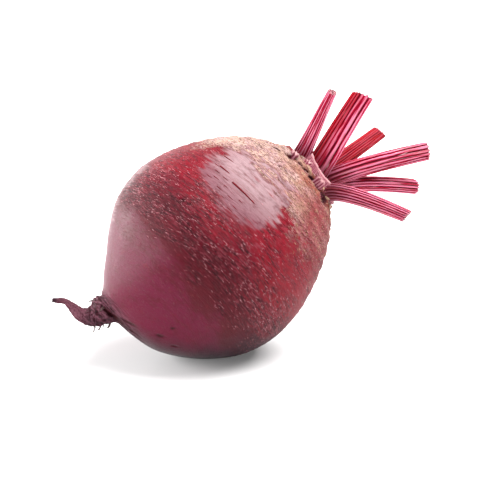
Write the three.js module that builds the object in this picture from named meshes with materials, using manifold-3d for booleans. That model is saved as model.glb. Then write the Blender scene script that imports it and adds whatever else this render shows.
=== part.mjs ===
// A whole beetroot lying on its side: a swollen root with its crown and curled tail, six trimmed leaf stalks,
// the torn bases of three outer leaves, and the stubs of the young leaves in the heart of the crown.
// Millimetres, +Z up. The origin is the middle of the small flat spot that the root rests on, straight under
// the centre of mass. The root's long axis lies in the XZ plane, with the crown towards +X and raised.
//
// Inside the plant group, +Z is the root's long axis with 0 at its widest girth, and an azimuth is an angle
// round that axis: 0 is the upper side, 90 the side towards -Y, and 180 the side that lies on the surface.
import * as THREE from "three";
import { mergeVertices } from "three/addons/utils/BufferGeometryUtils.js";
import Module from "manifold-3d";

const wasm = await Module();
wasm.setup();

// Driving dimensions
const GIRTH = 89.4; // widest diameter of the root
const AXIS_TILT = 32.3; // degrees that the long axis rises towards the crown
const REST_DEPTH = 0.9; // how much of the root's underside is flattened where it rests
const CROWN_RADIUS = 14.5; // rim of the crown, where the leaf bases stand
const CROWN_HEIGHT = 52; // the rim's distance from the widest girth
const CROWN_SHIFT = -1.2; // how far the crown's middle lies off the axis, away from TAIL_AZIMUTH
const TAIL_AZIMUTH = -28; // side of the root towards which the tail leans and curls
const GAP = 0.3; // clearance between two pieces that touch

const RAD = Math.PI / 180;
const TURN = 2 * Math.PI;
const GOLDEN_TURN = 137.5 * RAD; // leaves follow each other round the crown by this angle

// A repeatable random number from 0 to 1
function seeded(seed) {
  let state = seed;
  return () => {
    state = (state * 1664525 + 1013904223) % 4294967296;
    return state / 4294967296;
  };
}

const mix = (a, b, share) => a + (b - a) * share;

function ease(from, to, value) {
  const share = Math.min(1, Math.max(0, (value - from) / (to - from)));
  return share * share * (3 - 2 * share);
}

// A point round the long axis
function round(azimuth, radius, along) {
  return new THREE.Vector3(radius * Math.cos(azimuth), radius * Math.sin(azimuth), along);
}

// One closed skin over rings of points, fanned shut at each end. The rings run anticlockwise, seen from the
// last one.
function skin(rings) {
  const around = rings[0].length;
  const middle = (ring) => ring.reduce((sum, p) => sum.add(p), new THREE.Vector3()).divideScalar(around);
  const points = [...rings.flat(), middle(rings[0]), middle(rings[rings.length - 1])];
  const first = rings.length * around;
  const faces = [];
  for (let side = 0; side < around; side++) {
    const next = (side + 1) % around;
    for (let row = 0; row < (rings.length - 1) * around; row += around) {
      faces.push(row + side, row + next, row + around + next);
      faces.push(row + side, row + around + next, row + around + side);
    }
    const last = (rings.length - 1) * around;
    faces.push(first, next, side);
    faces.push(first + 1, last + side, last + next);
  }
  const geometry = new THREE.BufferGeometry();
  geometry.setAttribute("position", new THREE.Float32BufferAttribute(points.flatMap((p) => p.toArray()), 3));
  geometry.setIndex(faces);
  return geometry;
}

// Closed geometry to a solid for joining and cutting, and back
function solidOf(geometry) {
  const bare = geometry.clone();
  bare.deleteAttribute("normal");
  bare.deleteAttribute("uv");
  const merged = mergeVertices(bare, 1e-4);
  const vertProperties = new Float32Array(merged.attributes.position.array);
  const triVerts = new Uint32Array(merged.index.array);
  return new wasm.Manifold(new wasm.Mesh({ numProp: 3, vertProperties, triVerts }));
}

function geometryOf(solid) {
  const mesh = solid.getMesh();
  const geometry = new THREE.BufferGeometry();
  geometry.setAttribute("position", new THREE.Float32BufferAttribute(mesh.vertProperties, 3));
  geometry.setIndex(new THREE.BufferAttribute(mesh.triVerts, 1));
  geometry.computeVertexNormals();
  return geometry;
}

function joinAll(solids) {
  return solids.reduce((whole, solid) => whole.add(solid));
}

// The swollen root

const ROOT_SIDES = 40;
const ROOT_STEPS = 3; // rings from one knot of the outline to the next

// Knots of the outline from the tail's tip to the crown: distance along the axis, shift of the ring's middle
// towards TAIL_AZIMUTH, radius, and the ring's own lean in degrees. Radii are shares of half the girth.
const ROOT_KNOTS = [
  [-64.0, 24.4, 0.018, -44],
  [-62.2, 22.8, 0.025, -50],
  [-60.2, 20.6, 0.03, -66],
  [-59.3, 17.0, 0.041, -84],
  [-58.7, 12.9, 0.061, -68],
  [-56.0, 9.6, 0.0917, -36],
  [-52.2, 8.4, 0.126, -10],
  [-49.0, 7.3, 0.1575, 0],
  [-47.4, 3.6, 0.2244, 0],
  [-44.6, -0.45, 0.3548, 0],
  [-40.7, -1.75, 0.4792, 0],
  [-34.9, -2.45, 0.617, 0],
  [-27.0, -1.85, 0.7794, 0],
  [-17.0, -0.7, 0.9248, 0],
  [-4.0, 0.1, 0.9996, 0],
  [9.0, 0.1, 0.9787, 0],
  [22.0, -0.05, 0.8841, 0],
  [34.0, -0.1, 0.7369, 0],
  [43.0, -0.5, 0.5734, 0],
  [48.8, -0.85, 0.4244, 0],
  [CROWN_HEIGHT, CROWN_SHIFT, CROWN_RADIUS / (GIRTH / 2), 0],
  [CROWN_HEIGHT + 2.2, -2.0, 0.258, 0],
  [CROWN_HEIGHT + 3.9, -2.6, 0.138, 0],
  [CROWN_HEIGHT + 4.4, -3.0, 0.02, 0],
];

// Broad swellings: height, how many go round the root, and their turn and twist round the axis in radians
const SWELLINGS = [
  { height: 0.7, count: 2, turn: 0.9, twist: 0.012 },
  { height: 0.45, count: 3, turn: -1.3, twist: 0.05 },
  { height: 0.22, count: 5, turn: 0.4, twist: -0.09 },
];
const RING_HEIGHT = 0.3; // shallow rings that crowd towards the crown
const RING_SPACING = 5;
const FURROW_DEPTH = 0.5; // two faint furrows that run up from the tail, at these azimuths
const FURROW_AZIMUTHS = [69, 237];
const WRINKLE_SHARE = 0.045; // wrinkles across the tail, as a share of its radius
const WRINKLE_SPACING = 2.6;

// What the surface adds to the radius, in millimetres
function rootRelief(along, azimuth, radius) {
  const swollen = SWELLINGS.reduce(
    (sum, { height, count, turn, twist }) => sum + height * Math.sin(count * azimuth + turn + twist * along),
    0,
  );
  const nearCrown = ease(10, 46, along) * (1 - ease(CROWN_HEIGHT - 1, CROWN_HEIGHT + 3, along));
  const sway = 1.4 * Math.sin(azimuth + 0.5) + 0.7 * Math.sin(4 * azimuth);
  const rings = RING_HEIGHT * Math.sin((along / RING_SPACING) * TURN + sway);
  const nearTail = ease(-50, -42, along) * (1 - ease(-30, 2, along));
  const furrows = FURROW_AZIMUTHS.reduce(
    (sum, side) => sum + Math.pow(Math.max(0, Math.cos(azimuth - side * RAD)), 24),
    0,
  );
  const onTail = 1 - ease(-50, -44, along);
  const crossing = (along / WRINKLE_SPACING) * TURN + 2 * Math.sin(azimuth * 2 + 0.6);
  const wrinkles = WRINKLE_SHARE * radius * Math.sin(crossing);
  const broad = Math.min(1, radius / 30);
  return broad * swollen + nearCrown * rings - FURROW_DEPTH * nearTail * furrows + onTail * wrinkles;
}

// The outline at a share from 0, the tail's tip, to 1, the crown
function rootOutline() {
  const times = ROOT_KNOTS.map((_, i) => i / (ROOT_KNOTS.length - 1));
  const values = new Float32Array(ROOT_KNOTS.flat());
  const curve = new THREE.CubicInterpolant(Float32Array.from(times), values, 4);
  return (share) => [...curve.evaluate(share)];
}

function rootSkin(growth = 0) {
  const outline = rootOutline();
  const count = (ROOT_KNOTS.length - 1) * ROOT_STEPS;
  const side = round(TAIL_AZIMUTH * RAD, 1, 0);
  const rings = [];
  for (let i = 0; i <= count; i++) {
    const [along, shift, share, lean] = outline(i / count);
    const radius = share * (GIRTH / 2);
    const tilt = new THREE.Quaternion().setFromAxisAngle(round((TAIL_AZIMUTH + 90) * RAD, 1, 0), lean * RAD);
    const ring = [];
    for (let k = 0; k < ROOT_SIDES; k++) {
      const azimuth = (k / ROOT_SIDES) * TURN;
      const reach = radius + rootRelief(along, azimuth, radius) + growth;
      ring.push(
        round(azimuth, reach, 0)
          .applyQuaternion(tilt)
          .addScaledVector(side, shift)
          .add(new THREE.Vector3(0, 0, along)),
      );
    }
    rings.push(ring);
  }
  return skin(rings);
}

// Scars and dry stumps of shed leaves, in rows that climb round the rim of the crown
const SCAR_COUNT = 16;
const SCAR_SUNK = 3.5; // how far each reaches down into the crown
const SCAR_POINTS = 5; // points across one
const CROWN_MIDDLE = round(TAIL_AZIMUTH * RAD, CROWN_SHIFT, 0);

// A crescent scale that leans outwards and narrows to a ragged, broken top
function leafScar({ width, thick, tall, lean, skew }) {
  const levels = [-SCAR_SUNK, 0, tall * 0.65, tall];
  const rings = levels.map((level) => {
    const share = Math.max(0, level / tall);
    const half = (width / 2) * mix(1, 0.62, share * share);
    const outer = [];
    const inner = [];
    for (let i = 0; i < SCAR_POINTS; i++) {
      const across = mix(-1, 1, i / (SCAR_POINTS - 1));
      const bow = thick * (1 - across * across);
      const height = level + (share === 1 ? 0.5 * Math.cos(across * 7 + skew) : 0);
      outer.push(new THREE.Vector3(half * across, bow * mix(1.25, 0.7, share), height));
      const atEdge = i === 0 || i === SCAR_POINTS - 1;
      if (!atEdge) inner.push(new THREE.Vector3(half * across, -bow * mix(0.5, 0.15, share), height));
    }
    return [...outer.reverse(), ...inner];
  });
  return skin(rings).rotateX(-lean * RAD);
}

// growth makes each scar larger all round, to keep the leaves clear of it
function leafScars(growth = 0) {
  const random = seeded(41);
  const scars = [];
  for (let i = 0; i < SCAR_COUNT; i++) {
    const azimuth = i * GOLDEN_TURN + 0.5;
    const row = i / SCAR_COUNT;
    const scar = leafScar({
      width: mix(6.6, 4.6, row) * mix(0.8, 1.2, random()) + 4 * growth,
      thick: mix(0.9, 1.5, random()) + 2 * growth,
      tall: mix(1.6, 3.4, random()) + growth,
      lean: mix(38, 14, row),
      skew: 6 * random(),
    });
    scar.rotateZ(mix(-9, 9, random()) * RAD + azimuth - 90 * RAD);
    const reach = mix(CROWN_RADIUS + 2.4, CROWN_RADIUS - 3.4, row);
    const height = mix(CROWN_HEIGHT - 3.8, CROWN_HEIGHT + 1.6, row);
    scar.translate(...round(azimuth, reach, height).add(CROWN_MIDDLE).toArray());
    scars.push(solidOf(scar));
  }
  return joinAll(scars);
}

// Broken-off rootlets: where each leaves the tail, as along and azimuth, then its length and thickness
const ROOTLETS = [
  { along: -51.0, azimuth: 150, length: 1.6, thickness: 1.4 },
  { along: -54.2, azimuth: 168, length: 2.2, thickness: 1.0 },
  { along: -56.8, azimuth: 140, length: 3.0, thickness: 0.8 },
  { along: -50.2, azimuth: 60, length: 1.4, thickness: 1.3 },
  { along: -49.6, azimuth: -70, length: 1.8, thickness: 1.2 },
];
const ROOTLET_SIDES = 6;
const ROOTLET_STEPS = 6;
const TAIL_MIDDLE = round(TAIL_AZIMUTH * RAD, 8.6, 0); // the tail's middle beside the axis, where they grow

// A tapering thread along a bent line
function thread(points, thickness) {
  const path = new THREE.CatmullRomCurve3(points);
  const frames = path.computeFrenetFrames(ROOTLET_STEPS, false);
  const rings = [];
  for (let i = 0; i <= ROOTLET_STEPS; i++) {
    const middle = path.getPointAt(i / ROOTLET_STEPS);
    const radius = (thickness / 2) * mix(1, 0.55, i / ROOTLET_STEPS);
    const ring = [];
    for (let k = 0; k < ROOTLET_SIDES; k++) {
      const turn = (k / ROOTLET_SIDES) * TURN;
      const spot = middle.clone().addScaledVector(frames.normals[i], radius * Math.cos(turn));
      ring.push(spot.addScaledVector(frames.binormals[i], radius * Math.sin(turn)));
    }
    rings.push(ring);
  }
  return skin(rings);
}

function rootlets() {
  const grown = ROOTLETS.map(({ along, azimuth, length, thickness }) => {
    const surface = mix(3.6, 6.4, ease(-57, -50, along));
    const at = (reach, drop) => round(azimuth * RAD, reach, along - drop).add(TAIL_MIDDLE);
    const inside = [at(surface - 2.4, 0), at(surface, 0.2)];
    const outside = [at(surface + length * 0.6, 1.1), at(surface + length, 2.6)];
    return solidOf(thread([...inside, ...outside], thickness));
  });
  return joinAll(grown);
}

// The leaf stalks

const STALK_RIBS = 10;
const SECTION_POINTS = STALK_RIBS * 3;
const STALK_STEPS = 7;
const CHANNEL_DEPTH = 0.1; // of the groove down a stalk's inner face, as a share of its thickness
const FOOT_DEPTH = 4; // how far a stalk's line starts below the rim of the crown

// foot and knee: distances from the axis towards TAIL_AZIMUTH and a quarter turn on from it, at the rim, and
// where the stalk has bent to its own line, which is the knee's third number above the rim.
// lean and toward: the angle of that line to the long axis, and the azimuth that it leans to.
// length: from the knee to the trimmed end. width and thick: the section at the foot.
// tip: the share of that section that is left at the end.
// cut: slant of the trimmed end in degrees, across the stalk and outwards.
const STALKS = [
  {
    foot: [5.2, 6.5],
    knee: [8.0, 9.6, 3.6],
    lean: 26.9,
    toward: -2.6,
    length: 27.2,
    width: 7.6,
    thick: 9.7,
    tip: 0.44,
    cut: [30, -16],
  },
  {
    foot: [-4.0, 3.4],
    knee: [-1.1, 4.3, 5.9],
    lean: 18,
    toward: -20,
    length: 35.8,
    width: 9.8,
    thick: 12.5,
    tip: 0.78,
    cut: [-3, -12],
  },
  {
    foot: [-4.0, -7.7],
    knee: [-5.4, -9.6, 16.9],
    lean: 18.2,
    toward: -121.5,
    length: 28,
    width: 8.1,
    thick: 6.0,
    tip: 0.76,
    cut: [14, 12],
  },
  {
    foot: [-5.5, -4.0],
    knee: [-7.1, -3.8, 13.1],
    lean: 25.5,
    toward: 159,
    length: 41.4,
    width: 8.5,
    thick: 9.0,
    tip: 0.95,
    cut: [3, 0],
  },
  {
    foot: [-8.6, -7.5],
    knee: [-11.7, -8.4, 14.4],
    lean: 43,
    toward: 173.8,
    length: 34.7,
    width: 7.4,
    thick: 6.9,
    tip: 1.04,
    cut: [8, 8],
  },
  {
    foot: [-10.1, 7.2],
    knee: [-13.1, 8.0, 6.1],
    lean: 63.5,
    toward: 144.6,
    length: 31.2,
    width: 11.5,
    thick: 8.6,
    tip: 0.66,
    cut: [-1, -20],
  },
];

// A stalk's cross-section: rounded and ribbed on its outer face, with a shallow channel down its inner one
function stalkSection(width, thick, ribDepth) {
  const section = [];
  for (let k = 0; k < SECTION_POINTS; k++) {
    const turn = (k / SECTION_POINTS) * TURN;
    const rib = 1 + ribDepth * Math.cos(turn * STALK_RIBS);
    const channel = CHANNEL_DEPTH * thick * Math.pow(Math.max(0, -Math.sin(turn)), 3);
    section.push([(width / 2) * Math.cos(turn) * rib, (thick / 2) * Math.sin(turn) * rib + channel]);
  }
  return section;
}

// A spot on the crown from its two distances from the axis and its height above the rim
function onCrown([aside, across], height) {
  const spot = round(TAIL_AZIMUTH * RAD, aside, CROWN_HEIGHT + height);
  return spot.add(round((TAIL_AZIMUTH + 90) * RAD, across, 0));
}

function stalkPath({ foot, knee, lean, toward, length }) {
  const heading = round(toward * RAD, Math.sin(lean * RAD), Math.cos(lean * RAD));
  const bend = onCrown(knee, knee[2]);
  const start = onCrown(foot, -FOOT_DEPTH);
  const rising = onCrown(foot, knee[2] * 0.5);
  const leaving = bend.clone().addScaledVector(heading, length * 0.25);
  const tip = bend.clone().addScaledVector(heading, length);
  return new THREE.CubicBezierCurve3(start, rising, leaving, tip);
}

function stalkSkin(stalk, growth = 0) {
  const path = stalkPath(stalk);
  const outer = round(stalk.toward * RAD, 1, 0);
  const rings = [];
  for (let i = 0; i <= STALK_STEPS; i++) {
    const share = i / STALK_STEPS;
    const middle = path.getPointAt(share);
    const tangent = path.getTangentAt(share);
    const across = new THREE.Vector3().crossVectors(outer, tangent).normalize();
    const outward = new THREE.Vector3().crossVectors(tangent, across);
    const taper = mix(1, stalk.tip, Math.pow(share, 0.7));
    const ribDepth = mix(0.03, 0.07, ease(0.05, 0.4, share));
    const [width, thick] = [stalk.width, stalk.thick].map((size) => size * taper + 2 * growth);
    const section = stalkSection(width, thick, ribDepth);
    const [cutAcross, cutOutward] = stalk.cut.map((angle) => (share === 1 ? Math.tan(angle * RAD) : 0));
    const ring = section.map(([x, y]) => {
      const spot = middle.clone().addScaledVector(across, x).addScaledVector(outward, y);
      return spot.addScaledVector(tangent, x * cutAcross + y * cutOutward);
    });
    rings.push(ring);
  }
  return skin(rings);
}

// Torn bases of outer leaves: azimuth round the rim, the arc that each clasps, how far it stands up at its
// middle and at its two ends, and the height and number of the teeth along its torn edge. The first one joins
// the feet of two stalks like a web.
const TORN_BASES = [
  { azimuth: 76, arc: 72, middle: 2.4, ends: 4.8, ragged: 0.3, teeth: 7 },
  { azimuth: -66, arc: 50, middle: 4.2, ends: 2.1, ragged: 0.9, teeth: 4 },
  { azimuth: 218, arc: 46, middle: 4.0, ends: 2.0, ragged: 0.9, teeth: 4 },
];
const TORN_THICK = 1.9;
const TORN_RIB = 0.22;
const TORN_FLARE = 0.18; // how far it leans outwards for each millimetre that it stands up

// A curved, ribbed strip that clasps the rim, with a ragged upper edge
function tornBase({ azimuth, arc, middle, ends, ragged, teeth }) {
  const steps = teeth * 4;
  const reach = CROWN_RADIUS - 0.6;
  const low = CROWN_HEIGHT - 4;
  const strip = [];
  for (let i = 0; i <= steps; i++) {
    const share = i / steps;
    const turn = (azimuth + (share - 0.5) * arc) * RAD;
    const wave = share * teeth * TURN;
    const shoulder = Math.sin(share * Math.PI);
    const half = (TORN_THICK / 2) * mix(0.45, 1, shoulder);
    const top = CROWN_HEIGHT + mix(ends, middle, shoulder) + ragged * Math.cos(wave + 0.8);
    const flare = (top - CROWN_HEIGHT) * TORN_FLARE;
    const rib = TORN_RIB * Math.cos(wave);
    strip.push([
      round(turn, reach - half, low),
      round(turn, reach - half + flare, top),
      round(turn, reach + half + flare + rib, top - 0.4),
      round(turn, reach + half + 1.2 + rib, low),
    ]);
  }
  return skin(strip).translate(...CROWN_MIDDLE.toArray());
}

// Stubs of the young leaves round the growing point, cut short, with the bud that they spring from
const HEART_MIDDLE = [2.4, -2.6];
const HEART_STUBS = 5;
const HEART_SIDES = 12;
const BUD_RADIUS = 2.8;

function heartStubs() {
  const random = seeded(7);
  const middle = onCrown(HEART_MIDDLE, 2.4);
  const bud = new THREE.SphereGeometry(BUD_RADIUS, 10, 6).rotateX(90 * RAD);
  const stubs = [solidOf(bud.translate(...middle.toArray()))];
  for (let i = 0; i < HEART_STUBS; i++) {
    const azimuth = i * GOLDEN_TURN + 0.9;
    const out = 0.9 + 0.4 * i;
    const width = 2.2 + 0.25 * i;
    const tall = 8.6 - i + 1.5 * random();
    const rings = [0, 0.5, 1].map((share) => {
      const line = middle.clone().add(round(azimuth, out + 0.22 * tall * share, tall * share));
      const ring = [];
      for (let k = 0; k < HEART_SIDES; k++) {
        const turn = (k / HEART_SIDES) * TURN;
        const rib = 1 + 0.1 * Math.cos(turn * 6);
        ring.push(line.clone().add(round(turn, (width / 2) * mix(1.15, 0.85, share) * rib, 0)));
      }
      return ring;
    });
    stubs.push(solidOf(skin(rings)));
  }
  return joinAll(stubs);
}

// Materials

const skinMaterial = new THREE.MeshStandardMaterial({ color: 0x6b1a30, roughness: 0.38, metalness: 0 });
const stalkMaterial = new THREE.MeshStandardMaterial({ color: 0xb8284a, roughness: 0.42, metalness: 0 });
const tornMaterial = new THREE.MeshStandardMaterial({ color: 0xb98078, roughness: 0.7, metalness: 0 });
const heartMaterial = new THREE.MeshStandardMaterial({ color: 0xc23a58, roughness: 0.5, metalness: 0 });

// Putting the plant together

// Volume and centre of mass of a solid
function massOf(solid) {
  const { vertProperties, triVerts } = solid.getMesh();
  const corner = (i) => new THREE.Vector3().fromArray(vertProperties, triVerts[i] * 3);
  const moment = new THREE.Vector3();
  let volume = 0;
  for (let i = 0; i < triVerts.length; i += 3) {
    const [a, b, c] = [corner(i), corner(i + 1), corner(i + 2)];
    const part = a.dot(b.clone().cross(c)) / 6;
    volume += part;
    moment.add(a.add(b).add(c).multiplyScalar(part / 4));
  }
  return { volume, moment };
}

// The largest body of a solid, without the scraps that a cut leaves
function largest(solid) {
  return solid.decompose().reduce((a, b) => (b.volume() > a.volume() ? b : a));
}

const root = joinAll([solidOf(rootSkin()), leafScars(), rootlets()]);
const pieces = [];
const addPiece = (name, solid, material) => pieces.push({ name, solid: largest(solid), material });

// Each piece is cut back from what already stands there, made larger by the clearance
let taken = joinAll([solidOf(rootSkin(GAP)), leafScars(GAP)]);
STALKS.forEach((stalk, i) => {
  addPiece(`leaf_stalk_${i + 1}`, solidOf(stalkSkin(stalk)).subtract(taken), stalkMaterial);
  taken = taken.add(solidOf(stalkSkin(stalk, GAP)));
});
addPiece("heart_stubs", heartStubs().subtract(taken), heartMaterial);
TORN_BASES.forEach((torn, i) => {
  addPiece(`torn_leaf_base_${i + 1}`, solidOf(tornBase(torn)).subtract(taken), tornMaterial);
});

// Lay the plant down: tilt it, bring its centre of mass over the origin, and flatten the spot it rests on
const plant = new THREE.Group();
const up = new THREE.Vector3(-Math.sin(AXIS_TILT * RAD), 0, Math.cos(AXIS_TILT * RAD));
const axis = new THREE.Vector3(Math.cos(AXIS_TILT * RAD), 0, Math.sin(AXIS_TILT * RAD));
plant.setRotationFromMatrix(new THREE.Matrix4().makeBasis(up, new THREE.Vector3(0, -1, 0), axis));
plant.updateMatrixWorld(true);

const masses = [root, ...pieces.map((piece) => piece.solid)].map(massOf);
const volume = masses.reduce((sum, part) => sum + part.volume, 0);
const centre = masses
  .reduce((sum, part) => sum.add(part.moment), new THREE.Vector3())
  .divideScalar(volume)
  .applyMatrix4(plant.matrixWorld);
const laid = new THREE.Mesh(geometryOf(root).applyMatrix4(plant.matrixWorld));
const lowest = new THREE.Box3().setFromObject(laid).min.z;
plant.position.set(-centre.x, -centre.y, -(lowest + REST_DEPTH));
plant.updateMatrixWorld(true);

const ground = new THREE.BoxGeometry(2 * GIRTH, 2 * GIRTH, GIRTH).translate(0, 0, -GIRTH / 2);
ground.applyMatrix4(plant.matrixWorld.clone().invert());

function place(name, solid, material) {
  const mesh = new THREE.Mesh(geometryOf(solid), material);
  mesh.name = name;
  plant.add(mesh);
}

place("beetroot_body", root.subtract(solidOf(ground)), skinMaterial);
pieces.forEach(({ name, solid, material }) => place(name, solid, material));

const beetroot = new THREE.Group();
beetroot.add(plant);

export default beetroot;
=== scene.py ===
# Beetroot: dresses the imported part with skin, ribbed leaf stalks, a corky crown and a wrinkled tail.
import math

import bpy
from mathutils import Matrix, Vector, noise


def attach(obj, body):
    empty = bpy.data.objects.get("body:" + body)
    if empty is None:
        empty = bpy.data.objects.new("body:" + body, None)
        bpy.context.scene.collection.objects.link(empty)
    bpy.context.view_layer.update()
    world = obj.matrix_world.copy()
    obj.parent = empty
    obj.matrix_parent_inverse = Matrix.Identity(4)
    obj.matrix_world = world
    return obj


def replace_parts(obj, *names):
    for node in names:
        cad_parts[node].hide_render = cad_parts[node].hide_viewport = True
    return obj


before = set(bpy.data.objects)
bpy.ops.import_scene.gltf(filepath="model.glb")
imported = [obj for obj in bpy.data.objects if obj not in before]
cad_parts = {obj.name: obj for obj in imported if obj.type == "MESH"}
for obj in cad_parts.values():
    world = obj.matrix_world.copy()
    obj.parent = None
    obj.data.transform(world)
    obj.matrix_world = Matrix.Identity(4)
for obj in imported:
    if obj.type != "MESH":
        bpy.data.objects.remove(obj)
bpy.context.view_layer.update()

mm = 0.001
fullTurn = 2 * math.pi
goldenTurn = math.radians(137.5)   # leaves follow each other round the crown by this angle

# How the plant lies. Inside it +Z is the root's long axis with 0 at the widest girth, in millimetres,
# and azimuth 0 is the upper side, 90 the side that faces the viewer.
plant = {
    "middle": (-3.824, 0.257, 44.896),
    "axisTilt": 32.3,
    "crownRadius": 14.5,
    "crownHeight": 52.0,
    "crownShift": -1.2,
    "tailAzimuth": -28.0,
}


def toLinear(hexColour):
    channels = [int(hexColour[i:i + 2], 16) / 255 for i in (1, 3, 5)]
    return [c / 12.92 if c <= 0.04045 else ((c + 0.055) / 1.055) ** 2.4 for c in channels] + [1.0]


def addNode(tree, kind, settings=None, links=None, out=0):
    node = tree.nodes.new(kind)
    for name, value in (settings or {}).items():
        setattr(node, name, value)
    for key, value in (links or {}).items():
        if isinstance(value, bpy.types.NodeSocket):
            tree.links.new(value, node.inputs[key])
        else:
            node.inputs[key].default_value = value
    return node.outputs[out] if len(node.outputs) else node


def mix(a, b, share):
    return a + (b - a) * share


def ease(low, high, value):
    share = min(1.0, max(0.0, (value - low) / (high - low)))
    return share * share * (3 - 2 * share)


def seeded(seed):
    state = seed
    while True:
        state = (state * 1664525 + 1013904223) % 4294967296
        yield state / 4294967296


def aroundAxis(azimuth, radius, along):
    return Vector((radius * math.cos(azimuth), radius * math.sin(azimuth), along))


tilt = math.radians(plant["axisTilt"])
plantTurn = Matrix((
    (-math.sin(tilt), 0, math.cos(tilt)),
    (0, -1, 0),
    (math.cos(tilt), 0, math.sin(tilt)),
))
plantPlace = Matrix.Translation(Vector(plant["middle"]) * mm) @ plantTurn.to_4x4() @ Matrix.Scale(mm, 4)
tailSide = math.radians(plant["tailAzimuth"])
crownMiddle = aroundAxis(tailSide, plant["crownShift"], 0)


def addObject(name, data):
    added = bpy.data.objects.new(name, data)
    bpy.context.scene.collection.objects.link(added)
    return added


def makePiece(name, points, faces, material):
    mesh = bpy.data.meshes.new(name)
    mesh.from_pydata([plantPlace @ Vector(p) for p in points], [], faces)
    mesh.materials.append(material)
    mesh.update()
    mesh.shade_smooth()
    piece = addObject(name, mesh)
    return piece


def closeTube(points, around, lists):
    # faces between rings of points, fanned shut at both ends; each list takes a value for the two new points
    faces = []
    last = len(points) - around
    for low in range(0, last, around):
        for k in range(around):
            after = (k + 1) % around
            faces.append((low + k, low + after, low + around + after, low + around + k))
    for ring in (range(around - 1, -1, -1), range(last, last + around)):
        points.append(sum((points[k] for k in ring), Vector()) / around)
        for values in lists:
            values.append(values[ring[0]])
        faces += [(ring[k], ring[(k + 1) % around], len(points) - 1) for k in range(around)]
    return faces


def giveAttribute(mesh, name, kind, values):
    attribute = mesh.attributes.new(name, kind, "POINT")
    key = "vector" if kind == "FLOAT_VECTOR" else "value"
    flat = [c for v in values for c in v] if kind == "FLOAT_VECTOR" else values
    attribute.data.foreach_set(key, flat)


# Skin of a root: waxy and semi-gloss, deep crimson with fine pale dashes along its growth lines.
# Dull pink and tan cork covers it towards the crown, and the tail is brown and dull.
skinColours = {
    "belly": "#560826",
    "band": "#480010",
    "crimson": "#600418",
    "bright": "#740418",
    # painted highlight: pale mauve where the overhead light's reflection falls on the smooth patch
    "paintedHighlight": "#72464f",
    "paintedHighlightPale": "#8e7074",
    "corkPink": "#b39492",
    "corkTan": "#bb9f90",
    # painted reflection: a pale haze along the rim on the side away from the viewer
    "paintedRimReflection": "#9a8486",
    "corkOrange": "#8e4a38",
    "corkCrack": "#521f20",
    "dash": "#8c404c",
    "darkDash": "#2a020c",
    "corkRosy": "#82363a",
    # painted shade: near black on the lower belly, close to the floor
    "under": "#1c0212",
    "pit": "#30020a",
    "tailBrown": "#372025",
    "tailTip": "#a06272",
    "tailPink": "#744654",
    "tailRed": "#46081a",
}


def linear(table):
    return {name: toLinear(value) for name, value in table.items()}


def grey(value):
    return (value, value, value, 1)


def makeMaterial(name):
    material = bpy.data.materials.new(name)
    material.use_nodes = True
    material.node_tree.nodes.clear()
    return material, material.node_tree


def reads(tree, name, out="Fac"):
    return addNode(tree, "ShaderNodeAttribute", {"attribute_name": name}, out=out)


def mapped(tree, vector, sizes):
    scale = tuple(1 / size for size in sizes)
    return addNode(tree, "ShaderNodeMapping", {}, {"Vector": vector, "Scale": scale})


def pattern(tree, vector, sizes, detail, rough, warp=0.0):
    return addNode(tree, "ShaderNodeTexNoise", {}, {
        "Vector": mapped(tree, vector, sizes), "Scale": 1.0, "Detail": detail, "Roughness": rough,
        "Distortion": warp,
    })


def ranged(tree, value, low, high, outLow=0.0, outHigh=1.0):
    return addNode(tree, "ShaderNodeMapRange", {"interpolation_type": "SMOOTHSTEP"}, {
        "Value": value, "From Min": low, "From Max": high, "To Min": outLow, "To Max": outHigh,
    })


def mixed(tree, share, a, b):
    return addNode(tree, "ShaderNodeMix", {"data_type": "RGBA"}, {0: share, 6: a, 7: b}, 2)


def layered(tree, skin, *layers):
    # lays one colour after the other over the skin, each by its own share
    for share, colour in layers:
        skin = mixed(tree, share, skin, colour)
    return skin


def maths(tree, operation, a, b=0.0, c=0.0):
    return addNode(tree, "ShaderNodeMath", {"operation": operation}, {0: a, 1: b, 2: c})


def product(tree, first, *others):
    for other in others:
        first = maths(tree, "MULTIPLY", first, other)
    return first


def finishMaterial(material, skin, rough, height, depth, strength, ior, more=None):
    # depth is that of the bumps, in millimetres
    tree = material.node_tree
    bump = addNode(tree, "ShaderNodeBump", {}, {
        "Height": height, "Distance": depth * mm, "Strength": strength,
    })
    shader = addNode(tree, "ShaderNodeBsdfPrincipled", {}, {
        "Base Color": skin, "Roughness": rough, "Normal": bump, "IOR": ior, **(more or {}),
    })
    addNode(tree, "ShaderNodeOutputMaterial", {}, {"Surface": shader})
    return material


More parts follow.
